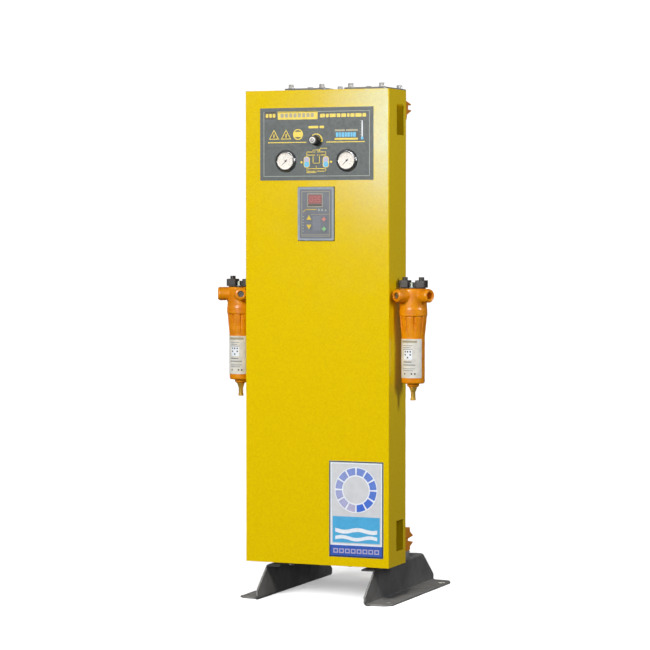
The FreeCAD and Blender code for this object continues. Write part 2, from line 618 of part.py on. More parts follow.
for name, side in sides.items():
    x = side * filter_x
    put("filter_head_" + name, filter_head(side))
    outer = [(0, bowl_low - boss_length), (9.6, bowl_low - boss_length), (13.2, bowl_low - 6.6),
             (14.0, bowl_low - 5.4), (14.2, bowl_low), (23.6, bowl_low), (25.6, bowl_low + 1.4),
             (26.2, bowl_low + 4), (26.6, head_low - 0.3), (27.2, head_low + 2),
             (27.2, head_low + 12), (0, head_low + 12)]
    inner = [(0, bowl_low + 5), (20.0, bowl_low + 6), (23.2, bowl_low + 11), (23.2, head_low + 13),
             (0, head_low + 13)]
    bowl = revolve(outer, x, filter_y).cut(revolve(inner, x, filter_y))
    rib_low = bowl_low + 100.0
    for i in range(rib_count):
        rib = box(20.0, 33.0, -6.6, 6.6, rib_low, head_low - 0.2)
        taper = revolve([(0, rib_low), (26.0, rib_low), (30.9, head_low - 0.2), (0, head_low - 0.2)], 0, 0)
        rib = rib.common(taper).cut(rod(24.5, 60.0, (0, 0, rib_low - 1.0), UP))
        bowl = bowl.fuse(turned(rib, 26.0 + 360.0 * i / rib_count, x, filter_y, 0))
    bowl = bowl.removeSplitter().cut(rod(3.0, 20.0, (x, filter_y, bowl_low - 10), UP))
    put("filter_bowl_" + name, bowl)
    put("filter_elements", ring(17.0, 11.0, 120.0, (x, filter_y, head_low - 110), UP))
    sleeve = ring(27.0, 26.62, 88.4, (x, filter_y, bowl_low + 13), UP)
    reach = 60.0
    keep = prism([(0, 0, 0), (-reach * math.tan(label_edge), -reach, 0),
                  (reach * math.tan(label_edge), -reach, 0)], UP * 1300)
    keep.translate(Vector(x, filter_y, 0))
    put("filter_labels", sleeve.common(keep))
    cap_low = head_high + 1.6
    cap_high = cap_low + 16.6
    for offset in (-cap_offset, cap_offset):
        cap = round_plate(x + offset - cap_half, x + offset + cap_half, filter_y - cap_half,
                          filter_y + cap_half, cap_low, cap_high, 3.5)
        cap = cap.fuse(rod(6.2, 7.0, (x + offset, filter_y, cap_high), UP))
        put("filter_caps", cap.removeSplitter())
    put("filter_caps", rod(28.0, 1.6, (x, filter_y, head_high), UP))
    nipple = ring(port_bore - 0.1, 5.5, 26.0, (side * (half_cover - 12.0), filter_y, filter_port_z),
                  RIGHT * side)
    put("pipe_nipples", nipple)
    # drain cock: a brass cone that turns on its stem, with a small collar at its end
    cock_z = bowl_low - boss_length
    cone = [(0, cock_z - 0.3), (8.6, cock_z - 0.3), (8.6, cock_z - 1.6), (5.3, cock_z - 11),
            (5.3, cock_z - 24), (6.2, cock_z - 25), (6.2, cock_z - 29), (5.6, cock_z - 29.6),
            (0, cock_z - 29.6)]
    cock = revolve(cone, x, filter_y).fuse(rod(2.95, 12.0, (x, filter_y, cock_z - 4), UP))
    cock = cock.removeSplitter().cut(rod(1.5, 60.0, (x, filter_y, cock_z - 40), UP))
    put("drain_cock_" + name, cock)

# ---- write one file per node ----
os.makedirs("parts", exist_ok=True)
for name, solids in nodes.items():
    flat = []
    for shape in solids:
        flat.extend(shape.Solids)
    for solid in flat:
        if not solid.isValid():
            print("not valid:", name)
    result = flat[0] if len(flat) == 1 else Part.makeCompound(flat)
    result.exportStep("parts/" + name + ".step")
print(len(nodes), "nodes")
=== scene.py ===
import json
import math

import bmesh
import bpy
from mathutils import Matrix, Vector

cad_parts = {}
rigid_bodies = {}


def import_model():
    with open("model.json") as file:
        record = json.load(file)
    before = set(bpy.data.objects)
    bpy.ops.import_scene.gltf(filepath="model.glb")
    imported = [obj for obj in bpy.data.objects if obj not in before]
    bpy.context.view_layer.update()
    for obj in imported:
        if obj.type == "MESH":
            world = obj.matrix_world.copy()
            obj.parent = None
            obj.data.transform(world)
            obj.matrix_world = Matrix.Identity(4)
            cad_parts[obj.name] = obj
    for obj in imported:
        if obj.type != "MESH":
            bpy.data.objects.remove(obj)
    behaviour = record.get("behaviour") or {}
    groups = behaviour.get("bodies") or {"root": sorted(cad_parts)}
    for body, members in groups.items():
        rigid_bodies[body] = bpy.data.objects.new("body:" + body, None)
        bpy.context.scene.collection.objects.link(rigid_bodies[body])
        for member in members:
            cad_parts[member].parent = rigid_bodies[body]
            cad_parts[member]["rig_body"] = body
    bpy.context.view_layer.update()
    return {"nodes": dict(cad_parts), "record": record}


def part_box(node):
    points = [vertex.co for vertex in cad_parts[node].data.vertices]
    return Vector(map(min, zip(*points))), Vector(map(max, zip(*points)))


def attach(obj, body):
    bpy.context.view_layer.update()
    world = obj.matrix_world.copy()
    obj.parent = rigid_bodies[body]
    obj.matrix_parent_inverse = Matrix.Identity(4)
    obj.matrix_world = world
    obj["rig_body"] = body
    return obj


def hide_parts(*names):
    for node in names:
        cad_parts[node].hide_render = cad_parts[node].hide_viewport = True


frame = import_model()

# Looks of a twin-column compressed-air dryer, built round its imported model.
# Lengths in the helpers below are millimetres; Blender itself works in metres.
MM = 0.001
cad = frame["nodes"]
record = frame["record"]
scene = bpy.context.scene

# ---- camera: level with the upper half, from the right, a long lens ----
camera_data = bpy.data.cameras.new("camera")
camera_data.sensor_width = 36.0
camera_data.lens = 139.51
camera_data.clip_end = 200.0
camera = bpy.data.objects.new("camera", camera_data)
camera.location = (2.17667, -5.47558, 0.85190)
camera.rotation_euler = (math.radians(87.787), 0.0, math.radians(22.1815))
scene.collection.objects.link(camera)
scene.camera = camera


# ---- places read from the frame, in millimetres ----
def span(node):
    """Lowest and highest corner of a CAD node in millimetres."""
    low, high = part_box(node)
    return low / MM, high / MM


def centre(node):
    low, high = span(node)
    return (low + high) / 2


def edges(node):
    """Left, right, lower and upper edge of a CAD node seen from the front."""
    low, high = span(node)
    return low.x, high.x, low.z, high.z


front_y = span("front_cover")[0].y
label_low, label_high = span("control_label")
info_low = span("info_plate")[0]
bezel_low, bezel_high = span("gauge_bezels")
gauge_r = (bezel_high.z - bezel_low.z) / 2
gauge_x = bezel_high.x - gauge_r
gauge_z = centre("gauge_bezels").z
dial_y = span("gauge_dials")[0].y
knob_face = (0, span("purge_knob")[0].y, centre("purge_knob").z)
film_y = span("controller_film")[0].y
SIDES = {"left": -1, "right": 1}
UP = (0, 0, 1)
FORWARD = (0, -1, 0)


# ---- materials ----
def linear(red, green, blue):
    """Screen colour, 0 to 255, as linear light."""
    def channel(value):
        share = value / 255
        return share / 12.92 if share <= 0.04045 else ((share + 0.055) / 1.055) ** 2.4
    return (channel(red), channel(green), channel(blue), 1.0)


def new_node(tree, kind, inputs=None, **settings):
    """Node in a tree, with values for its sockets and its own settings."""
    node = tree.nodes.new(kind)
    for key, value in settings.items():
        setattr(node, key, value)
    for socket, value in (inputs or {}).items():
        node.inputs[socket].default_value = value
    return node


class Finish:
    """One material's node tree, with short calls for the parts that most finishes share."""

    def __init__(self, name, colour, roughness, metallic=0.0, **sockets):
        self.material = bpy.data.materials.new(name)
        self.material.use_nodes = True
        self.tree = self.material.node_tree
        self.shader = self.tree.nodes["Principled BSDF"]
        self.base = colour
        sockets.update(Base_Color=colour, Roughness=roughness, Metallic=metallic)
        for socket, value in sockets.items():
            self.shader.inputs[socket.replace("_", " ")].default_value = value
        self.place = self.add("ShaderNodeTexCoord").outputs["Object"]
        self.height = None

    def add(self, kind, inputs=None, **settings):
        return new_node(self.tree, kind, inputs, **settings)

    def join(self, source, target):
        self.tree.links.new(source, target)

    def noise(self, grain, detail=3.0, stretch=(1, 1, 1)):
        """Noise whose grains are about this many millimetres across, drawn out along an axis."""
        mapping = self.add("ShaderNodeMapping", {"Scale": stretch})
        self.join(self.place, mapping.inputs["Vector"])
        texture = self.add("ShaderNodeTexNoise", {"Scale": 1 / (grain * MM), "Detail": detail})
        self.join(mapping.outputs["Vector"], texture.inputs["Vector"])
        return texture.outputs["Fac"]

    def cells(self, grain):
        texture = self.add("ShaderNodeTexVoronoi", {"Scale": 1 / (grain * MM)})
        self.join(self.place, texture.inputs["Vector"])
        return texture.outputs["Distance"]

    def remap(self, source, low, high, new_low, new_high):
        node = self.add("ShaderNodeMapRange", {"From Min": low, "From Max": high, "To Min": new_low,
                                               "To Max": new_high})
        self.join(source, node.inputs["Value"])
        return node.outputs["Result"]

    def blend(self, share, first, second):
        """Mix two colours, each a plain colour or a node's output."""
        node = self.add("ShaderNodeMix", data_type="RGBA")
        self.join(share, node.inputs["Factor"])
        for socket, value in ((node.inputs[6], first), (node.inputs[7], second)):
            if isinstance(value, bpy.types.NodeSocket):
                self.join(value, socket)
            else:
                socket.default_value = value
        return node.outputs[2]

    def colour(self, output):
        self.join(output, self.shader.inputs["Base Color"])

    def vary(self, other, grain=60.0, low=0.42, high=0.62, stretch=(1, 1, 1), detail=4.0):
        """Drift the base colour towards another over broad patches."""
        share = self.remap(self.noise(grain, detail, stretch), low, high, 0.0, 1.0)
        self.colour(self.blend(share, self.base, other))

    def rough(self, low, high, grain=25.0, stretch=(1, 1, 1)):
        patches = self.remap(self.noise(grain, 4.0, stretch), 0.35, 0.65, low, high)
        self.join(patches, self.shader.inputs["Roughness"])

    def bump(self, source, depth, strength=0.5):
        """Raise the surface by a depth in millimetres; calls stack up."""
        node = self.add("ShaderNodeBump", {"Distance": depth * MM, "Strength": strength})
        self.join(source, node.inputs["Height"])
        if self.height is not None:
            self.join(self.height, node.inputs["Normal"])
        self.height = node.outputs["Normal"]
        self.join(self.height, self.shader.inputs["Normal"])

    def edge_wear_and_sheen(self, edge_colour, amount=0.8):
        """Show another colour in patches along the bevels that soft_copy marks: edge wear, and on the yellow
        paint a painted highlight.
        """
        mark = self.add("ShaderNodeAttribute", attribute_name="wear_and_sheen")
        patches = self.remap(self.noise(9.0, 5.0), 0.45, 0.6, 0.0, amount)
        share = self.add("ShaderNodeMath", operation="MULTIPLY")
        self.join(mark.outputs["Fac"], share.inputs[0])
        self.join(patches, share.inputs[1])
        under = self.shader.inputs["Base Color"]
        current = under.links[0].from_socket if under.links else self.base
        self.colour(self.blend(share.outputs[0], current, edge_colour))


def paint_yellow():
    finish = Finish("yellow powder coat", linear(232, 200, 0), 0.18, Specular_IOR_Level=0.3)
    finish.vary(linear(223, 188, 0), 3.4, 0.3, 0.7, detail=1.5)
    finish.rough(0.16, 0.21, 30.0)
    finish.bump(finish.noise(4.0, 1.5), 0.26, 0.8)
    finish.bump(finish.noise(9.0, 2.0), 0.1, 0.3)
    # the paler yellow along the bevelled edges is a painted highlight on the cover's edges
    finish.edge_wear_and_sheen(linear(244, 219, 70), 0.3)
    return finish.material


def paint_orange():
    finish = Finish("orange cast paint", linear(226, 142, 0), 0.34, Coat_Weight=0.15, Coat_Roughness=0.14)
    finish.vary(linear(216, 126, 0), 22.0)
    finish.rough(0.26, 0.4, 9.0)
    finish.bump(finish.noise(3.2, 3.0), 0.1, 0.4)
    finish.bump(finish.noise(0.8, 2.0), 0.03, 0.35)
    finish.edge_wear_and_sheen(linear(240, 165, 50), 0.6)
    return finish.material


def paint_grey():
    finish = Finish("dark grey paint", linear(80, 80, 82), 0.46)
    finish.vary(linear(72, 72, 74), 50.0)
    finish.rough(0.38, 0.55, 18.0)
    finish.bump(finish.noise(1.4, 3.0), 0.06, 0.5)
    finish.edge_wear_and_sheen(linear(120, 121, 124), 0.9)
    return finish.material


def bare_aluminium(name, drawn):
    """Mill aluminium with fine lines along its drawn direction."""
    finish = Finish(name, linear(176, 178, 181), 0.4, 0.55)
    finish.vary(linear(152, 154, 158), 18.0, stretch=drawn)
    finish.rough(0.32, 0.5, 4.0, drawn)
    finish.bump(finish.noise(1.2, 3.0, drawn), 0.03, 0.4)
    finish.edge_wear_and_sheen(linear(196, 197, 200), 0.8)
    return finish.material


def plain_metal(name, colour, other, roughness, grain=6.0, metallic=1.0):
    """Metal in two screen colours, with fine scratches of the grain's size in millimetres."""
    finish = Finish(name, linear(*colour), roughness, metallic)
    finish.vary(linear(*other), grain)
    finish.rough(roughness * 0.75, roughness * 1.3, grain)
    finish.bump(finish.noise(grain / 5, 3.0), 0.02, 0.35)
    return finish.material


def plain_plastic(name, colour, other, roughness, grain=0.9, depth=0.03, **sockets):
    """Moulded plastic or film in two screen colours."""
    finish = Finish(name, linear(*colour), roughness, **sockets)
    finish.vary(linear(*other), 14.0)
    finish.rough(roughness * 0.85, roughness * 1.2, 7.0)
    finish.bump(finish.noise(grain, 2.0), depth, 0.4)
    finish.edge_wear_and_sheen(linear(*other), 0.7)
    return finish.material


def printed(name, colour, other, roughness=0.42):
    """Ink on film in two screen colours: slightly uneven, with the film's fine tooth."""
    finish = Finish(name, linear(*colour), roughness)
    finish.vary(linear(*other), 6.0)
    finish.bump(finish.noise(0.5, 2.0), 0.01, 0.3)
    return finish.material


def desiccant_beads():
    finish = Finish("desiccant beads", linear(222, 214, 198), 0.7)
    beads = finish.cells(3.5)
    finish.colour(finish.blend(beads, finish.base, linear(178, 166, 148)))
    finish.bump(beads, 1.0, 0.8)
    return finish.material


def clear_sheet(name, tint):
    """Thin clear sheet: what is behind shows straight through, with a gloss over it."""
    least_gloss, most_gloss = 0.018, 0.9
    finish = Finish(name, tint, 0.06)
    finish.bump(finish.noise(20.0, 2.0), 0.05, 0.1)
    see = finish.add("ShaderNodeBsdfTransparent", {"Color": tint})
    gloss = finish.add("ShaderNodeBsdfGlossy", {"Roughness": 0.06})
    fresnel = finish.add("ShaderNodeFresnel", {"IOR": 1.45})
    mix = finish.add("ShaderNodeMixShader")
    share = finish.remap(fresnel.outputs["Fac"], 0.0, 1.0, least_gloss, most_gloss)
    finish.join(share, mix.inputs["Fac"])
    finish.join(see.outputs["BSDF"], mix.inputs[1])
    finish.join(gloss.outputs["BSDF"], mix.inputs[2])
    output = finish.tree.nodes["Material Output"]
    finish.join(mix.outputs["Shader"], output.inputs["Surface"])
    return finish.material


def glowing(name, colour, strength):
    light = linear(*colour)
    finish = Finish(name, light, 0.4, Emission_Color=light, Emission_Strength=strength)
    finish.vary(tuple(0.8 * c for c in light[:3]) + (1.0,), 3.0)
    return finish.material


def circuit_green():
    finish = Finish("circuit board", linear(32, 92, 52), 0.35)
    finish.vary(linear(22, 70, 38), 4.0)
    finish.bump(finish.cells(6.0), 0.2, 0.4)
    return finish.material


def matt_floor():
    finish = Finish("studio floor", (0.93, 0.93, 0.93, 1.0), 0.7)
    finish.vary((0.91, 0.91, 0.915, 1.0), 400.0)
    finish.bump(finish.noise(3.0, 3.0), 0.05, 0.2)
    return finish.material


# noise is drawn out along the axis whose scale is small
UPRIGHT = (1, 1, 0.02)
LEVEL = (0.04, 1, 1)
yellow = paint_yellow()
orange = paint_orange()
dark_grey = paint_grey()
column_alloy = bare_aluminium("drawn aluminium", UPRIGHT)
plate_alloy = bare_aluminium("milled aluminium", LEVEL)
zinc = plain_metal("zinc plated steel", (190, 190, 188), (160, 160, 156), 0.3)
steel = plain_metal("ground steel", (165, 167, 170), (140, 142, 146), 0.25)
bolt_zinc = plain_metal("bright zinc", (206, 206, 205), (184, 183, 181), 0.34, 9.0, 0.4)
brass = plain_metal("brass", (232, 190, 86), (220, 176, 74), 0.34, 16.0, 0.7)
chrome = plain_metal("chromed steel", (205, 206, 208), (190, 191, 194), 0.1, 30.0)
black_plastic = plain_plastic("black plastic", (34, 35, 38), (52, 53, 56), 0.34)
cap_plastic = plain_plastic("charcoal plastic", (54, 50, 48), (47, 43, 42), 0.42)
grey_plastic = plain_plastic("blue grey plastic", (134, 144, 156), (146, 156, 167), 0.42)
rubber = plain_plastic("black rubber", (28, 28, 29), (40, 40, 41), 0.7)
label_film = plain_plastic("grey label film", (80, 87, 86), (76, 83, 82), 0.5, 0.6, 0.012)
key_film = plain_plastic("keypad film", (98, 103, 112), (92, 97, 104), 0.4, 0.6, 0.012)
white_film = plain_plastic("pale grey film", (212, 214, 218), (206, 208, 213), 0.35, 0.6, 0.012)
silver_film = plain_plastic("silver label film", (222, 219, 210), (206, 204, 196), 0.34, 0.5, 0.012)
desiccant = desiccant_beads()
filter_cloth = plain_plastic("filter element", (226, 224, 216), (206, 203, 194), 0.8, 1.2, 0.2)
board = circuit_green()
glass = clear_sheet("gauge glass", (0.97, 0.98, 0.98, 1.0))
dial_paper = printed("cream dial", (244, 236, 228), (238, 230, 221), 0.5)
ink_black = printed("black ink", (36, 34, 34), (50, 48, 47))
ink_brown = printed("dark brown ink", (66, 58, 42), (74, 66, 50))
ink_yellow = printed("yellow ink", (234, 208, 66), (226, 198, 60))
ink_pale = printed("pale line ink", (160, 166, 156), (152, 158, 150))
ink_cyan = printed("cyan ink", (92, 186, 226), (84, 176, 218))
ink_lilac = printed("lilac ink", (178, 172, 200), (170, 165, 194))
ink_white = printed("white ink", (236, 240, 246), (228, 233, 240))
ink_blue = printed("strong blue ink", (44, 88, 186), (40, 82, 178))
ink_frame = printed("dark blue grey ink", (52, 66, 84), (58, 72, 90))
ink_sky = printed("sky blue ink", (70, 172, 222), (66, 166, 216))
ink_tan = printed("tan line ink", (166, 158, 128), (158, 150, 122))
ink_red = printed("red key ink", (204, 118, 100), (196, 108, 92))
ink_green = printed("green key ink", (128, 186, 122), (120, 178, 114))
ink_grey = printed("grey small print", (120, 122, 126), (128, 130, 134))
ink_edge = printed("label edge ink", (74, 80, 80), (82, 88, 88))
ink_dull = printed("dull yellow ink", (208, 180, 30), (200, 172, 28))
ink_field = printed("keypad field ink", (106, 110, 119), (110, 114, 123))
ink_scale = printed("gauge scale ink", (92, 88, 86), (104, 99, 96))
pin_glass = plain_plastic("sight pin", (196, 206, 190), (206, 216, 202), 0.12, Coat_Weight=0.6)
display_red = glowing("display glass", (140, 68, 68), 0.12)
segment_red = glowing("lit segments", (186, 104, 98), 0.15)

# finish of every CAD node
CAD_FINISHES = {
    column_alloy: "column_a column_b",
    plate_alloy: "top_plate_a top_plate_b bottom_plate_a bottom_plate_b inlet_pipe outlet_pipe "
                 "exhaust_valves",
    bolt_zinc: "top_plate_screws bottom_plate_screws",
    zinc: "bracket_screws cover_screws shuttle_plugs pipe_nipples filter_test_plugs cover_brackets "
          "gauge_cases",
    steel: "inlet_shuttle outlet_shuttle plunger_a plunger_b bed_screens",
    brass: "exhaust_silencers purge_valve_body drain_cock_left drain_cock_right",
    chrome: "gauge_bezels pressure_tubes",
    black_plastic: "solenoid_coils purge_knob",
    cap_plastic: "filter_caps",
    grey_plastic: "controller_housing",
    rubber: "column_gaskets",
    label_film: "control_label",
    key_film: "controller_film button_up button_down button_stop button_start",
    white_film: "info_plate",
    silver_film: "filter_labels",
    desiccant: "desiccant_bed_a desiccant_bed_b",
    filter_cloth: "filter_elements",
    board: "controller_board",
    dial_paper: "gauge_dials",
    ink_black: "gauge_needle_a gauge_needle_b",
    glass: "gauge_windows",
    display_red: "display_window",
    yellow: "front_cover",
    dark_grey: "foot_left foot_right",
    orange: "top_manifold bottom_manifold filter_head_left filter_head_right filter_bowl_left "
            "filter_bowl_right",
}
for finish, names in CAD_FINISHES.items():
    for name in names.split():
        for slot in cad[name].material_slots:
            slot.material = finish
cad["gauge_windows"].visible_shadow = False


# ---- mesh helpers ----
def place_piece(name, mesh, finish, body="dryer"):
    """Put a mesh into the scene as a piece that rides on a body."""
    piece = bpy.data.objects.new(name, mesh)
    scene.collection.objects.link(piece)
    mesh.materials.clear()
    mesh.materials.append(finish)
    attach(piece, body)
    return piece


def mesh_from(name, bm, smooth_below=None):
    """Turn a bmesh into a mesh; faces that meet below the angle shade smoothly."""
    mesh = bpy.data.meshes.new(name)
    bm.to_mesh(mesh)
    bm.free()
    if smooth_below is not None:
        mesh.shade_smooth()
        mesh.set_sharp_from_angle(angle=math.radians(smooth_below))
    return mesh


def to_mesh(name, bm, smooth_below=None):
    bmesh.ops.recalc_face_normals(bm, faces=bm.faces)
    return mesh_from(name, bm, smooth_below)


def stand_in(node, name, mesh):
    """Place a mesh in a CAD node's finish and on its body, and let it replace the node."""
    piece = place_piece(name, mesh, cad[node].material_slots[0].material, cad[node]["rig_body"])
    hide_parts(node)
    return piece


def soft_copy(node, name, width):
    """Stand in for a CAD node with its sharp edges bevelled and marked, for edge wear and for a painted
    highlight along the edges.
    """
    flat, sharp, shading = 0.6, 30.0, 50.0
    bm = bmesh.new()
    bm.from_mesh(cad[node].data)
    wear_and_sheen = bm.faces.layers.float.new("wear_and_sheen")
    bmesh.ops.remove_doubles(bm, verts=bm.verts, dist=0.02 * MM)
    bmesh.ops.dissolve_limit(bm, angle_limit=math.radians(flat), verts=bm.verts, edges=bm.edges)
    edges = [e for e in bm.edges
             if len(e.link_faces) == 2 and e.calc_face_angle(0.0) > math.radians(sharp)]
    made = bmesh.ops.bevel(bm, geom=edges, offset=width * MM, offset_type="OFFSET", segments=2,
                           profile=0.6, affect="EDGES", clamp_overlap=False)
    for face in made["faces"]:
        face[wear_and_sheen] = 1.0
    piece = stand_in(node, name, mesh_from(name, bm, shading))
    weighted = piece.modifiers.new("even shading", "WEIGHTED_NORMAL")
    weighted.keep_sharp = True


def baked(holder):
    """Mesh of an object with its modifiers or its text worked out; the object is removed."""
    bpy.context.view_layer.update()
    shown = holder.evaluated_get(bpy.context.evaluated_depsgraph_get())
    mesh = bpy.data.meshes.new_from_object(shown)
    bpy.data.objects.remove(holder)
    return mesh


def cast_copy(node, name, rounds):
    """Stand in for a cast CAD node with every inside corner filled and every edge eased."""
    source = bpy.data.objects.new(name + "_raw", cad[node].data.copy())
    scene.collection.objects.link(source)
    remesh = source.modifiers.new("skin", "REMESH")
    remesh.mode = "VOXEL"
    remesh.voxel_size = 0.8 * MM
    ease = source.modifiers.new("ease", "SMOOTH")
    ease.factor = 0.5
    ease.iterations = rounds
    mesh = baked(source)
    mesh.shade_smooth()
    stand_in(node, name, mesh)


def skin(bm, first, second):
    """Faces between two closed rings with the same number of points."""
    for i in range(len(first)):
        j = (i + 1) % len(first)
        bm.faces.new((first[i], first[j], second[j], second[i]))


def lathe(name, profile, place, axis, finish, body="dryer", steps=72, loop=False, smooth=40):
    """Piece turned about an axis; profile holds (radius, height along the axis) in millimetres."""
    turn = Vector((0, 0, 1)).rotation_difference(Vector(axis)).to_matrix()
    origin = Vector(place)
    bm = bmesh.new()
    rows = []
    for radius, height in profile:
        if radius < 1e-6:
            rows.append([bm.verts.new((origin + turn @ Vector((0, 0, height))) * MM)])
            continue
        row = []
        for i in range(steps):
            angle = 2 * math.pi * i / steps
            point = Vector((radius * math.cos(angle), radius * math.sin(angle), height))
            row.append(bm.verts.new((origin + turn @ point) * MM))
        rows.append(row)
    pairs = list(zip(rows, rows[1:]))
    if loop:
        pairs.append((rows[-1], rows[0]))
    for first, second in pairs:
        for i in range(steps):
            j = (i + 1) % steps
            corners = [first[i % len(first)], first[j % len(first)], second[j % len(second)],
                       second[i % len(second)]]
            unique = list(dict.fromkeys(corners))
            if len(unique) > 2:
                bm.faces.new(unique)
    return place_piece(name, to_mesh(name, bm, smooth), finish, body)


def arc(x, z, radius, start, stop, steps=12):
    """Points along an arc, in degrees, from start to stop."""
    turns = [math.radians(start + (stop - start) * i / steps) for i in range(steps + 1)]
    return [(x + radius * math.cos(t), z + radius * math.sin(t)) for t in turns]


def disc(x, z, radius, steps=36):
    return arc(x, z, radius, 0, 360 - 360 / steps, steps - 1)


def bar(x0, x1, z0, z1):
    return [(x0, z0), (x1, z0), (x1, z1), (x0, z1)]


def soft_bar(x0, x1, z0, z1, radius):
    """Bar with rounded corners."""
    left, right, low, high = x0 + radius, x1 - radius, z0 + radius, z1 - radius
    corners = ((right, low, -90), (right, high, 0), (left, high, 90), (left, low, 180))
    return [point for x, z, start in corners for point in arc(x, z, radius, start, start + 90, 5)]


def band(x, z, inner, outer, start, stop, steps=16):
    """Part of a ring between two angles."""
    return arc(x, z, outer, start, stop, steps) + arc(x, z, inner, stop, start, steps)


def outline(x0, x1, z0, z1, width):
    """Four bars round a rectangle, inside its edges."""
    return [bar(x0, x1, z1 - width, z1), bar(x0, x1, z0, z0 + width),
            bar(x0, x0 + width, z0 + width, z1 - width), bar(x1 - width, x1, z0 + width, z1 - width)]


def rim(node, inset, width):
    """Four bars inside the edges of a CAD node."""
    x0, x1, z0, z1 = edges(node)
    return outline(x0 + inset, x1 - inset, z0 + inset, z1 - inset, width)


def row_of_bars(x, widths, gap, z0, z1, radius):
    """Rounded bars side by side, the first one starting at x."""
    row = []
    for width in widths:
        row.append(soft_bar(x, x + width, z0, z1, radius))
        x += width + gap
    return row


def stroke(points, width):
    """A line of even width along straight runs, one bar for each run with square ends."""
    shapes = []
    half = width / 2
    for (x0, z0), (x1, z1) in zip(points, points[1:]):
        along = Vector((x1 - x0, z1 - z0)).normalized()
        side = Vector((-along.y, along.x)) * half
        a = Vector((x0, z0)) - along * half
        b = Vector((x1, z1)) + along * half
        shapes.append([tuple(a + side), tuple(a - side), tuple(b - side), tuple(b + side)])
    return shapes


def star(x, z, reach, waist):
    """Four-pointed star."""
    points = []
    for i in range(8):
        radius = reach if i % 2 == 0 else waist
        points.append((x + radius * math.cos(math.pi * i / 4), z + radius * math.sin(math.pi * i / 4)))
    return points


def print_on(name, shapes, y, finish, body="dryer", raised=0.1):
    """Thin raised print on an upright face that looks forward; y is the face's place."""
    bm = bmesh.new()
    for shape in shapes:
        back = [bm.verts.new((x * MM, y * MM, z * MM)) for x, z in shape]
        face = [bm.verts.new((x * MM, (y - raised) * MM, z * MM)) for x, z in shape]
        bm.faces.new(face)
        bm.faces.new(list(reversed(back)))
        skin(bm, back, face)
    place_piece(name, to_mesh(name, bm), finish, body)


def wrap_on(name, patches, x, y, radius, finish, raised):
    """Thin raised print round an upright cylinder; patches hold angles in degrees and heights."""
    bm = bmesh.new()
    for start, stop, z0, z1 in patches:
        steps = max(2, int(abs(stop - start) / 4))
        rings = []
        for r, z in ((radius, z0), (radius + raised, z0), (radius + raised, z1), (radius, z1)):
            rings.append([bm.verts.new(((x + px) * MM, (y + py) * MM, z * MM))
                          for px, py in arc(0, 0, r, start, stop, steps)])
        for first, second in zip(rings, rings[1:] + rings[:1]):
            for i in range(steps):
                bm.faces.new((first[i], first[i + 1], second[i + 1], second[i]))
        for end in (0, steps):
            bm.faces.new([r[end] for r in rings])
    place_piece(name, to_mesh(name, bm, 30), finish)


def numbers_on(name, marks, y, size, finish):
    """Small upright numerals facing forward; marks hold (text, x, z)."""
    raised = 0.05
    bm = bmesh.new()
    for text, x, z in marks:
        curve = bpy.data.curves.new(name + text, "FONT")
        curve.body = text
        curve.size = size * MM
        curve.align_x = "CENTER"
        curve.align_y = "CENTER"
        curve.extrude = raised * MM
        holder = bpy.data.objects.new(name + text, curve)
        scene.collection.objects.link(holder)
        mesh = baked(holder)
        upright = Matrix.Rotation(math.pi / 2, 4, "X")
        mesh.transform(Matrix.Translation(Vector((x, y, z)) * MM) @ upright)
        bm.from_mesh(mesh)
        bpy.data.meshes.remove(mesh)
    place_piece(name, to_mesh(name, bm), finish)


# ---- sheet metal, plates and castings with eased edges ----
soft_copy("front_cover", "cover_sheet", 0.5)
for side in SIDES:
    soft_copy("foot_" + side, "foot_sheet_" + side, 0.6)
for letter in "ab":
    soft_copy("top_plate_" + letter, "upper_end_plate_" + letter, 0.5)
    soft_copy("bottom_plate_" + letter, "lower_end_plate_" + letter, 0.5)
soft_copy("top_manifold", "upper_casting", 1.0)
soft_copy("bottom_manifold", "lower_casting", 1.0)
soft_copy("shuttle_plugs", "plug_hexagons", 0.5)
soft_copy("filter_caps", "filter_cap_nuts", 0.7)
soft_copy("controller_housing", "controller_frame", 0.7)
soft_copy("purge_knob", "purge_knob_body", 0.35)
for side in SIDES:
    cast_copy("filter_head_" + side, "filter_casting_" + side, 5)
    cast_copy("filter_bowl_" + side, "filter_bowl_casting_" + side, 3)
    soft_copy("drain_cock_" + side, "drain_tap_" + side, 0.25)


# ---- socket-head screws on the end plates, and bright zinc rims round the feet's bolt holes as a painted highlight ----
foot_sheet = 4.0
washer_r = 8.0


def screw_radius(kind, radius, step, turn):
    """Distance from a screw's axis: plain round, knurled, or out to a hexagon."""
    if kind == "knurl" and step % 2:
        return radius - 0.35
    if kind == "hex":
        return radius / math.cos(math.radians((turn + 30) % 60 - 30))
    return radius


def add_screw(bm, x, y, seat, way):
    """Socket-head screw with a washer; its head points up where way is 1 and down where it is -1."""
    washer, head, shank = 1.6, 8.0, 90.0
    top = washer + head
    rows = [("round", 4.0, -shank), ("round", 4.0, 0.0), ("round", washer_r, 0.0),
            ("round", washer_r, washer), ("knurl", 6.5, washer), ("knurl", 6.5, top - 0.7),
            ("round", 5.8, top), ("hex", 3.0, top), ("hex", 3.0, top - 4.0)]
    steps = 72
    rings = []
    for kind, radius, height in rows:
        points = []
        for i in range(steps):
            turn = 360 * i / steps
            r = screw_radius(kind, radius, i, turn)
            point = Vector((x + r * math.cos(math.radians(turn)),
                            y + r * math.sin(math.radians(turn)), seat + way * height))
            points.append(bm.verts.new(point * MM))
        rings.append(points)
    bm.faces.new(rings[0])
    bm.faces.new(rings[-1])
    for first, second in zip(rings, rings[1:]):
        skin(bm, first, second)


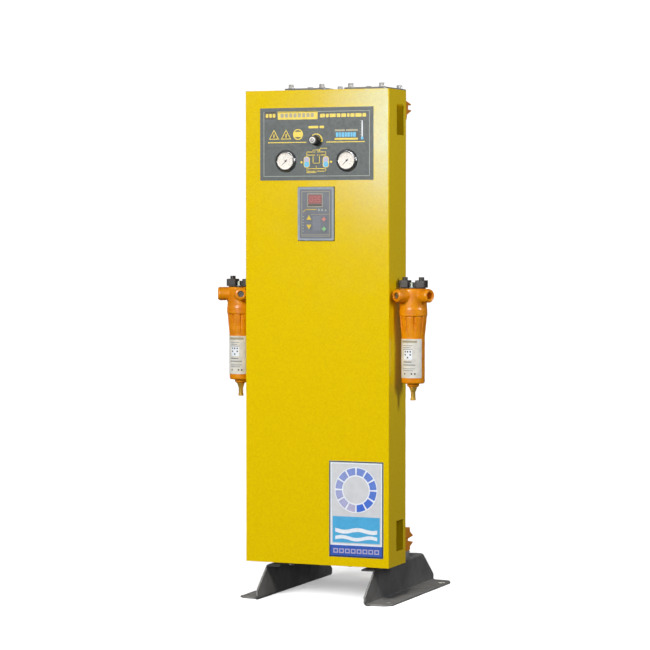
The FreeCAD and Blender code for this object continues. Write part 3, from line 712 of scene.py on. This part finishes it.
def socket_screws(name, node, plates):
    """Screws in the corners of the end plates, standing in for a CAD node."""
    low, high = span(node)
    foot_inner = span("foot_right")[0].x
    bm = bmesh.new()
    for plate in plates:
        plate_low, plate_high = span(plate)
        middle = (plate_low.x + plate_high.x) / 2
        reach = min(high.x - middle, middle - low.x) - washer_r
        # the heads are on the side where the screws reach least past the plate
        above = high.z - plate_high.z < plate_low.z - low.z
        for x in (middle - reach, middle + reach):
            under_foot = foot_sheet if abs(x) > foot_inner else 0.0
            seat, way = (plate_high.z, 1) if above else (plate_low.z - under_foot, -1)
            for y in (low.y + washer_r, high.y - washer_r):
                add_screw(bm, x, y, seat, way)
    stand_in(node, name, to_mesh(name, bm, 25))


socket_screws("upper_socket_screws", "top_plate_screws", ["top_plate_a", "top_plate_b"])
socket_screws("lower_socket_screws", "bottom_plate_screws", ["bottom_plate_a", "bottom_plate_b"])

bolts = next(m for m in record["mounts"] if m["name"] == "floor_bolts")
for side, across in SIDES.items():
    bolt_x = bolts["pos_m"][0] / MM + across * bolts["dims"]["spacing_x_mm"] / 2
    bolt_y = bolts["pos_m"][1] / MM + bolts["dims"]["spacing_y_mm"] / 2
    # bright zinc rings round the bolt holes: a painted highlight where the holes show bright
    bright_ring = [(5.5, 0.0), (8.4, 0.0), (8.1, 0.3), (5.8, 0.3)]
    lathe("bolt_hole_glint_rim_" + side, bright_ring, (bolt_x, bolt_y, foot_sheet), UP, bolt_zinc,
          steps=48, loop=True)


# ---- control label: border, header, generic signs, scales and flow scheme ----
def label_print(name, shapes, finish, layer=0):
    """Print on the control label; a higher layer lies over a lower one."""
    print_on(name, shapes, label_low.y - 0.1 * layer, finish)


def label_header(z):
    """A dark block, a yellow block and a row of bars in place of words; z is their middle."""
    label_print("header_dark_block", [bar(-127.7, -98.6, z - 8.4, z + 8.4)], ink_brown)
    label_print("header_yellow_block", [bar(-95.0, 3.2, z - 9.4, z + 9.4)], ink_yellow)
    tag = [soft_bar(-124.5 + 8.6 * i, -118.0 + 8.6 * i, z - 4.2, z + 4.2, 1.5) for i in range(3)]
    label_print("header_tag_bars", tag, ink_yellow, 1)
    blank = [soft_bar(-87.5 + 10.6 * i, -80.2 + 10.6 * i, z - 4.6, z + 4.8, 2.2) for i in range(8)]
    label_print("header_name_blanks", blank, ink_tan, 1)
    title = row_of_bars(9.5, (12, 7, 15, 9, 12, 6, 10, 15, 9), 2.1, z - 5.6, z + 2.6, 1.6)
    label_print("header_title_bars", title, ink_yellow)


def label_signs(foot):
    """Two plain triangles with a bar in each, and a round sign with two arcs."""
    places = (-104.2, -74.4)
    outer = [[(x - 12.6, foot), (x + 12.6, foot), (x, foot + 22.6)] for x in places]
    inner = [[(x - 9.6, foot + 1.7), (x + 9.6, foot + 1.7), (x, foot + 19.0)] for x in places]
    label_print("triangle_signs", outer, ink_yellow)
    label_print("triangle_fills", inner, ink_brown, 1)
    pips = [soft_bar(x - 1.3, x + 1.3, foot + 3.6, foot + 12.2, 1.2) for x in places]
    label_print("triangle_pips", pips, ink_yellow, 2)
    x, z = -44.8, foot + 10.7
    label_print("round_sign", [disc(x, z, 12.3)], ink_yellow)
    lips = [arc(x, z, 9.8, start, start + 104, 10) for start in (38, 218)]
    label_print("round_sign_lips", lips, ink_brown, 1)


def label_purge_scale(z):
    """Two short bars over a wedge that thickens clockwise round the knob."""
    words = [soft_bar(x0, x1, z - 2.8, z + 2.8, 1.6) for x0, x1 in ((-19.2, 5.0), (8.0, 19.2))]
    label_print("knob_bars", words, ink_yellow)
    outer_r, inner_r, thicker, steps = 15.7, 14.6, 2.6, 30
    middle_z = knob_face[2]
    outer = arc(0, middle_z, outer_r, 205, -17, steps)
    inner = []
    for i, (x, z) in enumerate(outer):
        share = (inner_r - thicker * i / steps) / outer_r
        inner.append((x * share, middle_z + (z - middle_z) * share))
    label_print("knob_wedge", [outer + inner[::-1]], ink_yellow)


def label_reading(left, right, low, high):
    """Blue blocks between bars, in place of a printed reading."""
    heads = [bar(left, left + 24, high - 4.0, high), bar(left + 27, right, high - 4.0, high)]
    label_print("reading_top_bars", heads, ink_tan)
    widths = (6.4, 5.0, 7.2, 4.6, 6.2, 5.2, 6.6)
    cyan = row_of_bars(left + 2.4, widths, 1.2, low + 6.4, low + 17.0, 1.4)
    label_print("reading_blocks", cyan, ink_cyan)
    label_print("reading_base_bar", [bar(left, right, low, low + 4.2)], ink_yellow)


def label_thermometer(x, top):
    label_print("thermometer_stem", [soft_bar(x - 1.5, x + 1.5, top - 68.0, top - 30.6, 1.4)], ink_white)
    label_print("thermometer_bulb", [disc(x, top - 70.5, 3.3)], ink_cyan, 1)
    pitch = 6.2
    ticks = [bar(x - 5.4, x - 3.0, top - 32.0 - pitch * i, top - 31.2 - pitch * i) for i in range(6)]
    label_print("thermometer_ticks", ticks, ink_pale)


def label_scheme(top):
    """Flow scheme: two columns joined by lines, with small blocks for the valves."""
    column_x = 23.4
    foot, crown = top - 136.2, top - 110.6
    shells, wet, dry, routes, valves, dots = [], [], [], [], [], []
    dry_air, pipe, outlet = top - 100.6, top - 107.6, top - 92.6
    wet_air, drain, waste = top - 138.6, top - 144.2, top - 147.4
    for s in (-1, 1):
        x = s * column_x
        shells.append(soft_bar(x - 7.6, x + 7.6, foot, crown, 6.0))
        wet.append(soft_bar(x - 6.0, x + 6.0, foot + 11.6, crown - 1.6, 4.4))
        dry.append(soft_bar(x - 6.0, x + 6.0, foot + 1.6, foot + 13.4, 4.4))
        routes += [[(x, crown), (x, dry_air), (s * 3.0, dry_air)],
                   [(x, pipe), (s * 3.0, pipe)],
                   [(s * 7.8, pipe), (s * 7.8, top - 126.0), (0.0, top - 126.0)],
                   [(x, foot), (x, wet_air), (0.0, wet_air)],
                   [(x, wet_air), (x, drain), (0.0, drain)]]
        valves.append(bar(s * 14.6 - 4.6, s * 14.6 + 4.6, top - 106.2, top - 102.0))
        valves.append(bar(s * 12.6 - 5.2, s * 12.6 + 5.2, top - 143.0, top - 139.8))
        dots.append(disc(s * 36.2, top - 123.4, 2.6))
    routes += [[(8.6, dry_air), (8.6, outlet), (26.0, outlet)],
               [(-8.0, dry_air), (-8.0, top - 96.4), (6.4, top - 96.4)],
               [(0.0, wet_air), (0.0, top - 132.6)],
               [(0.0, drain), (0.0, waste), (-24.0, waste)]]
    pipes = [run for route in routes for run in stroke(route, 1.5)]
    label_print("scheme_columns", shells, ink_yellow)
    label_print("scheme_wet_air", wet, ink_lilac, 1)
    label_print("scheme_dry_air", dry, ink_cyan, 1.5)
    label_print("scheme_pipes", pipes, ink_yellow)
    label_print("scheme_valves", valves, ink_brown)
    label_print("scheme_column_dots", dots, ink_yellow)


label_top = label_high.z
label_print("label_border", rim("control_label", 8.6, 1.3), ink_pale)
label_print("label_edge_line", rim("control_label", 0.3, 1.5), ink_edge)
label_header(label_top - 17.2)
label_signs(label_top - 71.3)
rule_z = label_top - 78.6
rules = [bar(x0, x1, rule_z - 1.1, rule_z + 1.1) for x0, x1 in ((-119.0, -24.6), (24.0, 118.5))]
label_print("label_rules", rules, ink_yellow)
label_purge_scale(label_top - 44.4)
label_reading(45.4, 101.0, label_top - 74.0, label_top - 50.4)
label_thermometer(111.6, label_top)
label_scheme(label_top)


# ---- gauges: bezel, gasket, reflector, scale and numerals ----
def gauge_ticks(x):
    """Long and short scale ticks, 81 places over 270 degrees."""
    long_ticks = []
    short_ticks = []
    for i in range(81):
        if i % 2 and i % 5:
            continue
        turn = math.radians(225 - 270 * i / 80)
        major = i % 10 == 0
        start, stop, half = (12.8, 15.6, 0.2) if major else (14.5, 15.6, 0.07)
        along = Vector((math.cos(turn), math.sin(turn)))
        side = Vector((-along.y, along.x)) * half
        a = Vector((x, gauge_z)) + along * start
        b = Vector((x, gauge_z)) + along * stop
        tick = [tuple(a - side), tuple(b - side), tuple(b + side), tuple(a + side)]
        (long_ticks if major else short_ticks).append(tick)
    return long_ticks, short_ticks


def gauge(letter, x):
    front = (x, label_low.y, gauge_z)
    ring = [(20.4, 0.0), (gauge_r, 0.0), (gauge_r, 2.6)] + arc(gauge_r - 2.6, 3.4, 2.6, 0, 80, 6)
    ring += [(21.6, 6.3)] + arc(20.0, 5.4, 1.0, 90, 175, 5) + [(18.95, 4.7), (20.4, 4.7)]
    bezel = lathe("gauge_bezel_" + letter, ring, front, FORWARD, chrome, loop=True,
                  steps=96, smooth=50)
    seat = [(gauge_r - 0.2, 0.0), (gauge_r + 0.9, 0.0), (gauge_r + 0.7, 0.8), (gauge_r - 0.2, 0.9)]
    lathe("gauge_gasket_" + letter, seat, front, FORWARD, rubber, loop=True, steps=96)
    inner = [(17.2, 0.0), (18.9, 0.0), (18.9, 3.4), (18.4, 3.4), (17.6, 0.7)]
    lathe("gauge_reflector_" + letter, inner, (x, dial_y, gauge_z), FORWARD, dial_paper,
          loop=True, steps=96)

    long_ticks, short_ticks = gauge_ticks(x)
    ring_line = [band(x, gauge_z, 15.6, 15.75, start, start + 90, 24) for start in (-45, 45, 135)]
    for kind, ticks in (("long", long_ticks), ("short", short_ticks + ring_line)):
        print_on(f"gauge_{kind}_ticks_{letter}", ticks, dial_y, ink_scale, raised=0.05)
    places = arc(x, gauge_z, 9.9, 225, -45, 8)
    marks = [(str(2 * i), px, pz) for i, (px, pz) in enumerate(places)]
    numbers_on("gauge_numerals_" + letter, marks, dial_y, 2.9, ink_scale)
    return bezel


bezel_a = gauge("a", -gauge_x)
gauge("b", gauge_x)
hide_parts("gauge_bezels")


# ---- knob cap, controller print and display digits ----
knob_cap = [(0, 0.9), (2.0, 0.9), (2.3, 0.5), (3.6, 0.5), (4.0, 1.1), (6.6, 1.1), (7.4, 0.6), (7.5, 0.0),
            (0, 0.0)]
lathe("purge_knob_cap", knob_cap, knob_face, FORWARD, silver_film, "purge_knob")
knob_ring = [(2.1, 0.45), (3.7, 0.45), (3.7, 0.56), (2.1, 0.56)]
lathe("purge_knob_cap_ring", knob_ring, knob_face, FORWARD, ink_frame, "purge_knob",
      loop=True)


def seven_segments(text, x, z, width, height, thick, gap):
    """Outlines of the lit bars of a row of seven-segment digits, starting at x with its foot at z."""
    lit = {"0": "abcdef", "3": "abcdg", "5": "acdfg"}
    shapes = []
    for digit in text:
        right, top, half = x + width, z + height, z + height / 2
        bars = {"a": bar(x, right, top - thick, top), "b": bar(right - thick, right, half, top),
                "c": bar(right - thick, right, z, half), "d": bar(x, right, z, z + thick),
                "e": bar(x, x + thick, z, half), "f": bar(x, x + thick, half, top),
                "g": bar(x, right, half - thick / 2, half + thick / 2)}
        shapes += [bars[name] for name in lit[digit]]
        x += width + gap
    return shapes


def key_print(name, shapes, finish):
    """Print on the controller's film."""
    print_on(name, shapes, film_y, finish)


def display_art():
    """The window's border, the block under it and the lit digits."""
    x0, x1, z0, z1 = edges("display_window")
    key_print("display_border", outline(x0 - 3.0, x1 + 3.0, z0 - 7.4, z1 + 3.0, 1.5), ink_tan)
    key_print("display_foot", [bar(x0 - 1.0, x1 + 1.0, z0 - 5.6, z0 - 1.0)], ink_brown)
    width, height = 6.6, 12.0
    gap = (x1 - x0 - 3 * width) / 4
    digits = seven_segments("035", x0 + gap, (z0 + z1 - height) / 2, width, height, 1.1, gap)
    print_on("display_digits", digits, span("display_window")[0].y, segment_red,
             raised=0.05)


def button_marks():
    """Triangles and stars on the four buttons, each riding on its own button."""
    marks = {"up": ([(-6.3, -3.6), (6.3, -3.6), (0.0, 7.0)], ink_dull, "yellow_button"),
             "down": ([(-6.3, 3.6), (0.0, -7.0), (6.3, 3.6)], ink_dull, "yellow_button"),
             "stop": (star(0, 0, 6.4, 3.0), ink_red, "red_button"),
             "start": (star(0, 0, 6.8, 3.2), ink_green, "green_button")}
    drawn_half = 7.2
    for name, (shape, finish, slot) in marks.items():
        x0, x1, z0, z1 = edges("button_" + name)
        scale = (x1 - x0) / 2 / drawn_half
        moved = [((x0 + x1) / 2 + px * scale, (z0 + z1) / 2 + pz * scale) for px, pz in shape]
        print_on("mark_" + name, [moved], span("button_" + name)[0].y, finish, "button_" + name,
                 raised=0.08)


def controller_art():
    x0, x1, z0, z1 = edges("controller_film")
    key_print("keypad_border", rim("controller_film", 4.6, 1.1), ink_tan)
    # a dark band just outside the housing: a painted shadow along the housing's edge
    shadow_band = rim("controller_housing", -0.9, 1.6)
    print_on("controller_shadow_line", shadow_band, front_y, rubber, raised=0.4)
    display_art()

    bend_z = edges("display_window")[2] - 13.2
    bend = (x0 + 14.4, bend_z)
    yellow_line = stroke([(x0 + 8.6, bend_z - 5.2), bend], 1.7) + stroke([bend, (1.6, bend_z)], 1.7)
    key_print("keypad_yellow_line", yellow_line, ink_dull)
    icons = [soft_bar(6.2, 10.2, bend_z - 3.2, bend_z + 1.2, 1.0), disc(16.0, bend_z - 1.0, 2.3, 20),
             [(22.0, bend_z - 3.4), (27.2, bend_z - 3.4), (24.6, bend_z + 1.4)]]
    key_print("keypad_icons", icons, ink_pale)
    lines = [bar(-12.0, x1 - 5.2, bend_z - 11.6, bend_z - 10.8), bar(x0 + 6.0, x1 - 5.2, z0 + 8.2, z0 + 9.0)]
    key_print("keypad_lines", lines, ink_tan)
    key_print("keypad_field", [soft_bar(-7.6, 12.6, z0 + 17.6, bend_z - 15.0, 2.0)], ink_field)
    lamps = [soft_bar(x0 + 7.4, x0 + 9.8, z0 + 15.0 + 6.6 * i, z0 + 17.6 + 6.6 * i, 0.8) for i in range(6)]
    key_print("keypad_side_marks", lamps, ink_pale)
    button_marks()


controller_art()


# ---- information plate: frame, graded ring, sky block and blue band ----
def plate_print(name, shapes, finish, over=0.0, raised=0.1):
    """Print on the information plate, over what is already there by so many millimetres."""
    print_on(name, shapes, info_low.y - over, finish, raised=raised)


def plate_frame(x0, x1, z0, z1, band_top):
    """Dark frame, white margin, and a blue band with a row of blanks at the foot."""
    frame_w = 3.0
    plate_print("info_edge", rim("info_plate", 0.2, frame_w), ink_frame)
    margin = outline(x0 + frame_w, x1 - frame_w, band_top, z1 - frame_w, 3.2)
    plate_print("info_margin", margin, ink_white, raised=0.06)
    plate_print("info_blue_band", [bar(x0 + 2.0, x1 - 2.0, z0 + 2.0, band_top)], ink_blue)
    blanks = 8
    pitch = (x1 - x0 - 18.0) / blanks
    rims = []
    for i in range(blanks):
        left = x0 + 9.0 + pitch * i
        rims += outline(left + 1.4, left + pitch - 1.4, z0 + 9.0, z0 + 19.4, 2.4)
    plate_print("info_band_blanks", rims, ink_lilac, 0.1)


def plate_waves(x0, x1, band_top, sky_top):
    """Two white waves, one and a half swings each, on a sky block."""
    plate_print("info_sky_block", [bar(x0 + 8.6, x1 - 8.6, band_top + 6.0, sky_top)], ink_sky)
    hills = []
    steps = 40
    for base, tall, shift in ((band_top + 15.5, 8.0, 0.0), (band_top + 33.0, 9.0, 0.9)):
        crest = []
        for i in range(steps + 1):
            x = x0 + 15.0 + (x1 - x0 - 30.0) * i / steps
            crest.append((x, base + 5.0 + 2.6 * math.sin(2 * math.pi * i / steps * 1.5 + shift * 3)))
        foot_line = [(x, z - tall) for x, z in crest]
        hills.append(crest + foot_line[::-1])
    plate_print("info_waves", hills, ink_white, 0.1)


def plate_ring(cx, cz):
    """Ring of 12 segments that turn from pale to strong blue."""
    count = 12
    gap = 2.4
    pale, strong = (186, 182, 214), (52, 104, 214)
    backing = [band(cx, cz, 31.0, 52.0, 180 * i, 180 * i + 180, 40) for i in range(2)]
    plate_print("info_ring_backing", backing, ink_white, raised=0.06)
    for i in range(count):
        start = 270 - 360 * (i + 1) / count
        share = i / (count - 1)
        tone = tuple(p + (s - p) * share for p, s in zip(pale, strong))
        finish = printed(f"ring ink {i + 1}", tone, tuple(0.96 * t for t in tone))
        piece = band(cx, cz, 34.0, 50.0, start + gap, start + 360 / count - gap, 10)
        plate_print(f"info_ring_{i + 1:02d}", [piece], finish, 0.06, 0.06)


left, right, low, high = edges("info_plate")
band_top = low + 27.0
plate_frame(left, right, low, high, band_top)
plate_waves(left, right, band_top, low + 92.6)
plate_ring((left + right) / 2 - 0.5, low + 153.4)


# ---- filters: the sleeves' print, and a clear pin in front of a dark web between the caps ----
def sleeve_art(side, x, y):
    """Bars, a white panel and dots round the front of a filter's silver sleeve."""
    z0, z1 = edges("filter_labels")[2:]
    sleeve_r = 27.02
    middle = 268.0

    def wrap(name, patches, finish, raised=0.12):
        """Patches hold angles from the middle of the print and heights."""
        turned = [(middle + a, middle + b, c, d) for a, b, c, d in patches]
        wrap_on(f"sleeve_{name}_{side}", turned, x, y, sleeve_r, finish, raised)

    wrap("heading", [(-43, 40, z1 - 8.6, z1 - 3.6)], ink_tan)
    rows = [(-34, 18 - 9 * (i % 2), z1 - 15.6 - 4.4 * i, z1 - 14.4 - 4.4 * i) for i in range(3)]
    rows += [(-30, 14, z0 + 35.0, z0 + 37.6), (-33, 32, z0 + 28.6, z0 + 30.8)]
    rows += [(-34, 30 - 8 * (i % 2), z0 + 20.6 - 4.2 * i, z0 + 21.8 - 4.2 * i) for i in range(2)]
    wrap("rows", rows, ink_grey)
    wrap("panel", [(-27, 17, z0 + 42.0, z0 + 64.0)], ink_white, 0.08)
    places = ((-19, 58), (-6, 58), (8, 58), (-19, 51), (8, 51), (-6, 44.6), (-23, 8), (14, 8), (30, 8))
    dots = [(turn - 3.6, turn + 3.6, z0 + level, z0 + level + 3.4) for turn, level in places]
    wrap("dots", dots, ink_black, 0.16)


def cap_art(side, x, y):
    """Sight pin in its collar, with a dark web behind it that joins the two caps."""
    seat = span("filter_caps")[1].z - 23.6
    foot = (x, y - 10.2, seat)
    pin = [(0, 0), (2.7, 0), (2.7, 9.0)] + arc(0.0, 9.0, 2.7, 0, 90, 6)[1:-1] + [(0, 11.7)]
    lathe("sight_pin_" + side, pin, foot, UP, pin_glass, steps=32)
    collar = [(2.8, 0), (4.4, 0), (4.4, 1.4), (3.9, 1.9), (2.8, 1.9)]
    lathe("sight_pin_collar_" + side, collar, foot, UP, grey_plastic, steps=32,
          loop=True)
    web = soft_bar(x - 7.7, x + 7.7, seat, seat + 12.0, 1.0)
    print_on("cap_web_" + side, [web], y + 11.0, cap_plastic, raised=16.5)


for side in SIDES:
    bowl = centre("filter_bowl_" + side)
    sleeve_art(side, bowl.x, bowl.y)
    cap_art(side, bowl.x, bowl.y)


# ---- studio: floor, white surround and a dim world ----
def studio_piece(name, bm, finish):
    """Put a studio mesh into the scene; the object neither mirrors it nor takes light from it."""
    mesh = mesh_from(name, bm)
    mesh.materials.append(finish)
    made = bpy.data.objects.new(name, mesh)
    scene.collection.objects.link(made)
    made.visible_diffuse = False
    made.visible_glossy = False
    return made


def white_glow(strength):
    material = bpy.data.materials.new("white surround")
    material.use_nodes = True
    tree = material.node_tree
    tree.nodes.clear()
    emission = new_node(tree, "ShaderNodeEmission", {"Strength": strength})
    output = new_node(tree, "ShaderNodeOutputMaterial")
    tree.links.new(emission.outputs["Emission"], output.inputs["Surface"])
    return material


floor_bm = bmesh.new()
bmesh.ops.create_circle(floor_bm, cap_ends=True, radius=30.0, segments=96)
floor = studio_piece("floor", floor_bm, matt_floor())

surround_bm = bmesh.new()
bmesh.ops.create_uvsphere(surround_bm, u_segments=48, v_segments=24, radius=40.0)
surround = studio_piece("surround", surround_bm, white_glow(1.05))
surround.visible_transmission = False
surround.visible_shadow = False

# the world is a little brighter above than below
world = bpy.data.worlds.new("studio")
world.use_nodes = True
scene.world = world
tree = world.node_tree
background = tree.nodes["Background"]
background.inputs["Color"].default_value = (1.0, 0.99, 0.97, 1.0)
direction = new_node(tree, "ShaderNodeTexCoord")
split = new_node(tree, "ShaderNodeSeparateXYZ")
shade = new_node(tree, "ShaderNodeMapRange", {"From Min": -0.6, "From Max": 0.8, "To Min": 0.04,
                                              "To Max": 0.14})
tree.links.new(direction.outputs["Generated"], split.inputs["Vector"])
tree.links.new(split.outputs["Z"], shade.inputs["Value"])
tree.links.new(shade.outputs["Result"], background.inputs["Strength"])


# ---- lights ----
def only_on(lamp, pieces):
    """Let a lamp light nothing but these pieces."""
    lit = bpy.data.collections.new("lit by " + lamp.name)
    for piece in pieces:
        lit.objects.link(piece)
    lamp.light_linking.receiver_collection = lit


def softbox(name, place, aim, size, power, colour=(1, 1, 1), only=None, even=True, gloss=True):
    """Rectangular lamp in metres, turned towards an aim; it may light some pieces only."""
    data = bpy.data.lights.new(name, "AREA")
    data.shape = "RECTANGLE"
    data.size, data.size_y = size
    data.energy = power
    data.color = colour
    lamp = bpy.data.objects.new(name, data)
    lamp.location = place
    lamp.rotation_euler = (Vector(aim) - Vector(place)).to_track_quat("-Z", "Y").to_euler()
    lamp.visible_camera = False
    lamp.visible_diffuse = even
    lamp.visible_glossy = gloss
    scene.collection.objects.link(lamp)
    if only:
        only_on(lamp, only)


middle = (0, 0, 0.7)
WARM = (1.0, 0.96, 0.82)
BLUE = (0.13, 0.52, 1.0)
pieces = [o for o in scene.objects if o.type == "MESH" and o not in (floor, surround)]
matt_names = "cover_sheet upper_end_plate_a upper_end_plate_b upper_socket_screws".split()
glossy = [o for o in pieces if o.name not in matt_names]
cover = [bpy.data.objects["cover_sheet"]]

# even light from the front, and from the same place a gloss that leaves out the cover and plates
front = (-0.9, -5.0, 2.2)
softbox("key_light", front, middle, (1.4, 1.4), 225, gloss=False)
softbox("key_gloss", front, middle, (1, 1), 260, only=glossy, even=False)
softbox("fill_light", (2.3, -5.2, 1.3), middle, (1.2, 1.2), 45, gloss=False)
softbox("right_light", (2.4, -0.5, 1.5), (0, 0, 0.8), (0.6, 0.9), 26)
# the pale glare at the cover's upper right: blue light turns yellow paint towards white
glare_place, glare_aim = (-0.36, -1.78, 1.15), (0.23, -0.19, 1.08)
softbox("glare_light", glare_place, glare_aim, (0.28, 0.34), 12, BLUE, cover, even=False)
# the sides that face away from the camera
softbox("back_light", (0.6, 4.5, 2.8), middle, (2.5, 2.0), 90, only=pieces, gloss=False)
softbox("left_light", (-3.6, 0.7, 1.8), middle, (1.6, 1.6), 60, only=pieces, gloss=False)

# two lamps for the stand: one low in front, and one higher up that lights its level flanges
stand_names = "foot_sheet_left foot_sheet_right lower_socket_screws bolt_hole_rim_left bolt_hole_rim_right"
stand = [bpy.data.objects[name] for name in stand_names.split()]
softbox("low_light", (0.9, -2.5, 0.45), (0, 0, 0.04), (0.9, 0.7), 19, only=stand, gloss=False)
softbox("flange_light", (0.55, -1.7, 1.7), (0.15, 0, 0), (0.4, 0.4), 120, WARM, stand, gloss=False)


def floor_sun(name, energy, spread, tilt, swing, shadow):
    """Sun on the floor alone; angles in degrees."""
    data = bpy.data.lights.new(name, "SUN")
    data.energy = energy
    data.angle = math.radians(spread)
    data.use_shadow = shadow
    sun = bpy.data.objects.new(name, data)
    sun.rotation_euler = (math.radians(tilt), 0, math.radians(swing))
    scene.collection.objects.link(sun)
    only_on(sun, [floor])


# a wide soft sun leaves a soft shadow under the stand, and a shadowless one keeps that shadow pale
floor_sun("floor_sun", 6.8, 64, 66, 22, True)
floor_sun("floor_fill", 1.15, 0, 0, 0, False)

# ---- colour handling: plain, so that paints keep their own colours ----
scene.view_settings.view_transform = "Standard"
scene.view_settings.look = "None"
